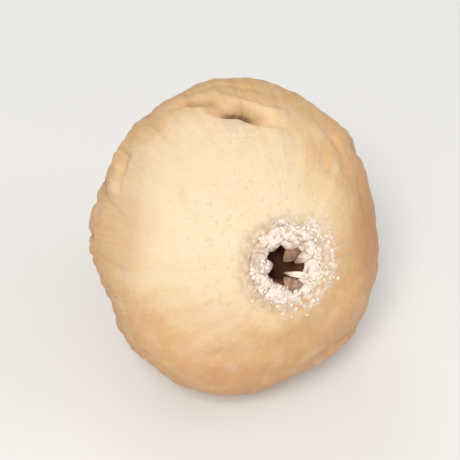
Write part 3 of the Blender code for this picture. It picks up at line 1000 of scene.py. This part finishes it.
select_nothing()
first_middle, first_radius = stalk_ring(0)
bpy.ops.mesh.primitive_circle_add(
    vertices=STALK_SIDES, radius=first_radius, fill_type="NGON", location=first_middle
)
stalk = bpy.context.active_object
stalk.name = "fig_stalk"
bpy.ops.object.mode_set(mode="EDIT")
bpy.ops.mesh.select_mode(type="FACE")
bpy.ops.mesh.select_all(action="SELECT")
last_middle, last_radius = first_middle, first_radius
for step in range(1, STALK_STEPS + 1):
    ring_middle, ring_radius = stalk_ring(step)
    bpy.ops.mesh.extrude_region_move(TRANSFORM_OT_translate={"value": ring_middle - last_middle})
    growth = ring_radius / last_radius
    bpy.ops.transform.resize(value=(growth, growth, 1.0), center_override=ring_middle)
    last_middle, last_radius = ring_middle, ring_radius
bpy.ops.mesh.inset(thickness=CUT_END_RIM, depth=-CUT_END_DEPTH)
bpy.ops.mesh.inset(thickness=0.3 * MM, depth=0.05 * MM)
bpy.ops.mesh.poke()
bpy.ops.mesh.select_all(action="SELECT")
bpy.ops.mesh.normals_make_consistent(inside=False)
bpy.ops.object.mode_set(mode="OBJECT")
bpy.ops.object.transform_apply(location=True, rotation=False, scale=False)

cut_attribute = stalk.data.attributes.new("cut", "FLOAT", "POINT")
end_middle, end_radius = stalk_ring(STALK_STEPS)
for vertex in stalk.data.vertices:
    spot = vertex.co.copy()
    ring_middle = spine(spot.z)
    outward = spot - ring_middle
    outward.z = 0.0
    at_end = spot.z < end_middle.z + 0.25 * MM and outward.length < end_radius - 0.5 * CUT_END_RIM
    cut_attribute.data[vertex.index].value = float(at_end)
    turn = atan2(outward.y, outward.x)
    ridge = STALK_RIDGE_HEIGHT * cos(STALK_RIDGES * turn)
    ridge += 0.5 * STALK_RIDGE_HEIGHT * abs(sin(11 * turn + 2 * noise.noise(spot / MM)))
    knob = STALK_KNOB_HEIGHT * noise.noise(spot / STALK_KNOB_SIZE)
    stretched = Vector((spot.x, spot.y, 0.35 * spot.z)) / BARK_SIZE
    bark = BARK_HEIGHT * noise.noise(stretched)
    if outward.length > 1e-6:
        spot += outward.normalized() * (ridge + knob + bark) * min(1.0, outward.length / end_radius)
    if at_end:
        spot.z += 0.05 * MM * noise.noise(spot / (0.3 * MM))
    vertex.co = to_world @ spot
    vertex.co.z = max(vertex.co.z, TABLE_GAP)
stalk.data.shade_smooth()
print("stalk faces:", len(stalk.data.polygons))

# %% [markdown]
# The stub's bark is dark and rough, with paler streaks along it and a little sugar dust. The cut
# end shows paler wood, which the attribute "cut" marks.

# %% Stalk material
BARK_DARK = (0.075, 0.040, 0.024)
BARK_PALE = (0.30, 0.19, 0.12)
DUST_COLOUR = (0.55, 0.42, 0.32)
CUT_WOOD = (0.42, 0.29, 0.18)

tree, upright = new_material("stalk_bark", stalk)
bark_streaks = use_group(tree, streak_group, upright, Count=12.0, Length=2 * MM)
bark_clouds = noise_value(tree, upright, 0.9 * MM, detail=5.0, roughness=0.65)
bark_mask = times(tree, bark_streaks, fade(tree, bark_clouds, 0.35, 0.65))
dust = use_group(tree, crust_group, upright, Size=0.5 * MM, Cover=0.42)
wood_rings = noise_value(tree, upright, 0.35 * MM, detail=4.0)
wood_colour = blend_colour(tree, fade(tree, wood_rings, 0.35, 0.6), CUT_WOOD, BARK_DARK)
colour = paint(
    tree, BARK_DARK, (bark_mask, BARK_PALE), (times(tree, dust, 0.45), DUST_COLOUR),
    (attribute_value(tree, "cut"), wood_colour),
)
grain = use_group(tree, grain_group, upright, Size=0.2 * MM)
surface = bumps(tree, (bark_streaks, 0.10 * MM, 0.8), (grain, 0.07 * MM, 0.8))
wire_shader(tree, colour, plus(tree, 0.68, times(tree, bark_clouds, 0.25)), surface)
print("stalk nodes:", len(tree.nodes))

# %% [markdown]
# The eye is nearly closed by papery scales, an inner, a middle and an outer row on a soft ring.
# One leaf is modelled: a grid is pinched to a tongue. It is then copied for each scale, every
# copy with its own mesh, size and crumple, and Solidify gives it thickness. The inner scales
# leave the star-shaped gap, and one lies deeper in it.

# %% One scale
RING_RADIUS = 2.65 * MM
RING_HALF_WIDTH = 0.85 * MM
RING_HALF_HEIGHT = 0.28 * MM
SCALE_TOP = SEAT_LEVEL + JOIN_GAP + 2 * RING_HALF_HEIGHT
LEAF_THICKNESS = 0.16 * MM
CRUMPLE_SIZE = 0.55 * MM
CRUMPLE_HEIGHT = 0.10 * MM

select_nothing()
bpy.ops.mesh.primitive_grid_add(x_subdivisions=14, y_subdivisions=10, size=2.0)
leaf = bpy.context.active_object
leaf.name = "leaf"
for vertex in leaf.data.vertices:
    along_leaf = (vertex.co.x + 1) / 2
    side = vertex.co.y
    towards_tip = max(0.0, 2 * along_leaf - 1)
    narrowing = sqrt(1 - towards_tip**2) * (1 - 0.55 * towards_tip**1.5) + 0.03
    vertex.co = Vector((along_leaf, side * narrowing, 0.0))


scale_pieces = []


def place_leaf(around, base, tip, half_width, level, dip, lift, browning=0.0, tip_side=0.0):
    """One scale: from its base at one radius to its tip nearer the centre."""
    number = len(scale_pieces)
    scale_mesh = leaf.data.copy()
    brown = scale_mesh.attributes.new("brown", "FLOAT", "POINT")
    piece = add_object("scale", scale_mesh)
    turn = Matrix.Rotation(radians(around), 3, "Z")
    for vertex in scale_mesh.vertices:
        along_leaf, side, _ = vertex.co
        near_tip = clamp((along_leaf - 0.55) / 0.4)
        brown.data[vertex.index].value = min(1.0, browning + 0.75 * near_tip**1.5)
        height = level - dip * along_leaf**2 + lift * sin(pi * along_leaf)
        height -= 0.28 * half_width * side * side
        sideways = side * half_width + tip_side * along_leaf
        spot = Vector((base + (tip - base) * along_leaf, sideways, height))
        crumple_at = spot / CRUMPLE_SIZE + Vector((7.3 * number, 0.0, 3.1 * number))
        spot.z += CRUMPLE_HEIGHT * noise.noise(crumple_at)
        spot.x += 0.4 * CRUMPLE_HEIGHT * noise.noise(crumple_at + Vector((0.0, 9.0, 0.0)))
        vertex.co = turn @ spot
    scale_pieces.append(piece)


print("corners of one scale:", len(leaf.data.vertices))

# %% [markdown]
# Each inner scale was placed by the photograph, because together they draw the star. The two
# covering rows are regular, with a little sway in their turn.

# %% Rows of scales
# Degrees round from the right, half width, reach and sideways shift of the tip in mm, browning
INNER_SCALES = (
    (100.0, 0.98, 1.55, 0.48, 0.04),
    (66.0, 0.98, 1.21, -0.15, 0.04),
    (170.0, 0.66, 1.15, -0.10, 0.02),
    (244.0, 0.98, 1.66, -0.65, 0.08),
    (321.0, 0.26, 0.17, -0.74, 0.12),
    (8.0, 0.42, 0.82, -0.23, 0.35),
    (285.0, 0.60, 0.95, -0.62, 0.90),
)
DEEP_SCALE = (30.0, 0.66, 0.18, 0.11)
DEEP_BASE = 2.1 * MM
DEEP_DROP = 0.34 * MM
INNER_BASE = 2.75 * MM
INNER_DIP = 0.35 * MM
INNER_RISE = 0.05 * MM
INNER_LIFT = 0.12 * MM
# Number, turn of the row, sway and its rate, then base, tip, half width, rise, dip and lift in mm
COVERING_ROWS = (
    (8, 0.37, 7.0, 2.3, 3.00, 1.95, 0.72, 0.16, 0.02, 0.12),
    (12, 0.0, 6.0, 1.7, 3.30, 2.45, 0.55, 0.02, -0.10, 0.10),
)
SHORT_SCALE = (8, 6)
SHORT_TIP = 2.30

for around, half_width, tip, tip_side, browning in INNER_SCALES:
    place_leaf(
        around, INNER_BASE, tip * MM, half_width * MM, SCALE_TOP + INNER_RISE, INNER_DIP, INNER_LIFT,
        browning, tip_side * MM,
    )
around, half_width, tip, tip_side = DEEP_SCALE
place_leaf(
    around, DEEP_BASE, tip * MM, half_width * MM, SCALE_TOP - DEEP_DROP, INNER_DIP, 0.0, 1.0,
    tip_side * MM,
)
for scale_count, turned, sway, rate, base, tip, half_width, rise, dip, lift in COVERING_ROWS:
    for count in range(scale_count):
        around = 360 / scale_count * (count + turned) + sway * sin(rate * count)
        reach = SHORT_TIP if (scale_count, count) == SHORT_SCALE else tip
        place_leaf(
            around, base * MM, reach * MM, half_width * MM, SCALE_TOP + rise * MM, dip * MM, lift * MM
        )
bpy.data.objects.remove(leaf)
print("scales:", len(scale_pieces))

# %% [markdown]
# The rows stand on a soft ring, a flattened torus that closes the gaps under them. All are joined
# to one piece, and an attribute keeps how far out from the hole each point is.

# %% Ring under the scales
RING_TOP_NOISE = 0.10 * MM
RING_NOISE_SIZE = 0.5 * MM
SCALES_REACH = 3.30 * MM

select_nothing()
bpy.ops.mesh.primitive_torus_add(
    major_segments=96, minor_segments=14, major_radius=RING_RADIUS, minor_radius=RING_HALF_WIDTH
)
scales = bpy.context.active_object
scales.name = "papery_scales"
cushion_middle = SEAT_LEVEL + JOIN_GAP + RING_HALF_HEIGHT
for vertex in scales.data.vertices:
    spot = vertex.co.copy()
    spot.z = cushion_middle + spot.z * RING_HALF_HEIGHT / RING_HALF_WIDTH
    spot.z += RING_TOP_NOISE * noise.noise(spot / RING_NOISE_SIZE)
    vertex.co = spot
for piece in scale_pieces:
    piece.select_set(True)
    bpy.context.view_layer.objects.active = piece
    thicken = piece.modifiers.new("thicken", "SOLIDIFY")
    thicken.thickness = LEAF_THICKNESS
    thicken.offset = 0.0
    bpy.ops.object.modifier_apply(modifier=thicken.name)
bpy.context.view_layer.objects.active = scales
scales.select_set(True)
bpy.ops.object.join()
outward_attribute = scales.data.attributes.new("outward", "FLOAT", "POINT")
for vertex in scales.data.vertices:
    outward_attribute.data[vertex.index].value = hypot(vertex.co.x, vertex.co.y) / SCALES_REACH
    vertex.co = to_world @ vertex.co
scales.data.shade_smooth()
print("faces of the scales and their ring:", len(scales.data.polygons))

# %% [markdown]
# The scales are dry paper, tan where they are bare and white where sugar covers them. Their tips and
# the ones that dip into the hole are brown, the outer edge of the ring is grimy, and painted shade
# turns its upper left side tan and dull.

# %% Scale material
SCALE_WHITE = (0.93, 0.785, 0.685)
SCALE_TAN = (0.68, 0.50, 0.37)
SCALE_BROWN = (0.40, 0.215, 0.130)
SCALE_DARK = (0.22, 0.115, 0.068)
SCALE_GRIME = (0.42, 0.290, 0.215)
SHADED_SIDE_SPOT = in_mm(-2.5, 1.9)
SHADED_SIDE_EDGE = in_mm(1.7, 0.5)

tree, upright = new_material("papery_scales", scales)
thick = noise_value(tree, upright, 2.2 * MM, detail=2.0)
crust_cover = fade(tree, thick, 0.35, 0.62, 0.62, 0.88)
crust = use_group(tree, crust_group, upright, Size=0.4 * MM, Cover=crust_cover)
grime = noise_value(tree, upright, 0.42 * MM, detail=5.0, roughness=0.7)
towards_rim = fade(tree, attribute_value(tree, "outward"), 0.70, 0.95, 0.15, 0.6)
grime_mask = times(tree, fade(tree, grime, 0.52, 0.68), towards_rim)
# Painted shade: the upper left side of the ring is painted plain tan.
from_shaded_side = distance_across(tree, upright, *SHADED_SIDE_SPOT)
shaded_side_mask = fade(tree, from_shaded_side, *SHADED_SIDE_EDGE, 0.0, 0.75)
brown_tone = blend_colour(tree, fade(tree, grime, 0.40, 0.62), SCALE_BROWN, SCALE_DARK)
brown_mask = fade(tree, attribute_value(tree, "brown"), 0.1, 1.0, 0.0, 0.93)
colour = paint(
    tree, SCALE_TAN, (crust, SCALE_WHITE), (grime_mask, SCALE_GRIME), (shaded_side_mask, SCALE_TAN),
    (brown_mask, brown_tone),
)
grain = use_group(tree, grain_group, upright, Size=0.16 * MM)
surface = bumps(tree, (crust, 0.06 * MM, 0.7), (grain, 0.05 * MM, 0.7))
rough = plus(tree, 0.62, times(tree, grime, 0.35))
wire_shader(tree, colour, rough, surface, (0.1, (1.0, 0.6, 0.4), 0.4 * MM))
print("scale nodes:", len(tree.nodes))

# %% [markdown]
# As the fruit dries, sugar comes out at the eye and dries to grains. Each grain is a small icosphere
# with its corners pushed about, so it has flat faces like a crystal. A ray cast down the fig's axis
# finds the surface under every grain. The random numbers have a fixed seed, so each run gives the
# same grains.

# %% Grains of sugar
import random

GRAINS = 330
GRAIN_SMALL = 0.07 * MM
GRAIN_LARGE = 0.24 * MM
GRAIN_SINK = 0.35
GRAIN_RING = 2.75 * MM
EYE_SPREAD = 0.75 * MM
HOLE_CLEAR = 2.1 * MM
# Place beside the axis and spread in mm, number of grains
SUGAR_LUMPS = (
    (3.41, 1.98, 0.22, 16),
    (-1.9, 0.5, 0.30, 10),
    (-0.9, -2.4, 0.35, 12),
    (1.9, -1.6, 0.25, 8),
)

draw = random.Random(41)
surfaces = []
for surface_piece in (skin, scales):
    corners = [vertex.co.copy() for vertex in surface_piece.data.vertices]
    faces = [tuple(polygon.vertices) for polygon in surface_piece.data.polygons]
    surfaces.append(BVHTree.FromPolygons(corners, faces))


def surface_under(x, y):
    """Nearest surface met on the way down the fig's axis, in world coordinates."""
    start = to_world @ Vector((x, y, 2 * EYE_REACH))
    hits = [surface.ray_cast(start, -axis) for surface in surfaces]
    hits = [hit for hit in hits if hit[0] is not None]
    return min(hits, key=lambda hit: hit[3]) if hits else None


select_nothing()
bpy.ops.mesh.primitive_ico_sphere_add(subdivisions=1, radius=1.0)
grain_source = bpy.context.active_object
grain_corners = [vertex.co.copy() for vertex in grain_source.data.vertices]
grain_faces = [tuple(polygon.vertices) for polygon in grain_source.data.polygons]
bpy.data.objects.remove(grain_source)

grain_spots = []
for number in range(GRAINS):
    from_axis = abs(draw.gauss(GRAIN_RING, EYE_SPREAD))
    turn = draw.uniform(0, 2 * pi)
    if from_axis > HOLE_CLEAR:
        spot_x = from_axis * cos(turn) + 0.5 * CRUST_SHIFT[0]
        grain_spots.append((spot_x, from_axis * sin(turn) + 0.5 * CRUST_SHIFT[1]))
for lump_x, lump_y, spread, count in SUGAR_LUMPS:
    for number in range(count):
        grain_spots.append((draw.gauss(lump_x * MM, spread * MM), draw.gauss(lump_y * MM, spread * MM)))

all_corners, all_faces = [], []
for spot_x, spot_y in grain_spots:
    size = GRAIN_SMALL + (GRAIN_LARGE - GRAIN_SMALL) * draw.random() ** 2.5
    hit = surface_under(spot_x, spot_y)
    if hit is None:
        continue
    place, normal = hit[0], hit[1]
    twist = Matrix.Rotation(draw.uniform(0, 2 * pi), 3, "Z")
    stand = normal.to_track_quat("Z", "Y").to_matrix()
    first = len(all_corners)
    for corner in grain_corners:
        jitter = 1 + 0.45 * (draw.random() - 0.5)
        shaped = Vector((corner.x, corner.y * 0.8, corner.z * 0.7)) * jitter * size
        all_corners.append(place + stand @ (twist @ shaped) + normal * size * 0.7 * GRAIN_SINK)
    all_faces += [tuple(first + index for index in face) for face in grain_faces]
grain_mesh = bpy.data.meshes.new("sugar_grains")
grain_mesh.from_pydata(all_corners, [], all_faces)
grains = add_object("sugar_grains", grain_mesh)
print("grain faces:", len(grain_mesh.polygons))

# %% [markdown]
# Dried sugar is white to pale tan. Light passes into each grain, and fine grain in the bump keeps
# its faces from looking polished.

# %% Sugar material
SUGAR_WHITE = (0.95, 0.88, 0.81)
SUGAR_TAN = (0.86, 0.73, 0.60)

tree, upright = new_material("sugar", grains)
tint = noise_value(tree, upright, 0.5 * MM, detail=2.0)
colour = blend_colour(tree, fade(tree, tint, 0.35, 0.65), SUGAR_WHITE, SUGAR_TAN)
grain = use_group(tree, grain_group, upright, Size=0.08 * MM)
rough = plus(tree, 0.35, times(tree, tint, 0.3))
surface = bumps(tree, (grain, 0.03 * MM, 0.6))
wire_shader(tree, colour, rough, surface, (0.25, (1.0, 0.8, 0.6), 0.3 * MM))
print("sugar nodes:", len(tree.nodes))

# %% [markdown]
# Each piece is tied to the solid's one body, and the solids are hidden. The sizes of the solids were
# kept when they were loaded.

# %% Tie the pieces to the body
for piece, slot in ((skin, "skin"), (stalk, "stalk_wood"), (scales, "scales"), (grains, "scales")):
    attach(piece, "root")
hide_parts("fig_body")
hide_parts("stalk")
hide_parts("eye_scales")
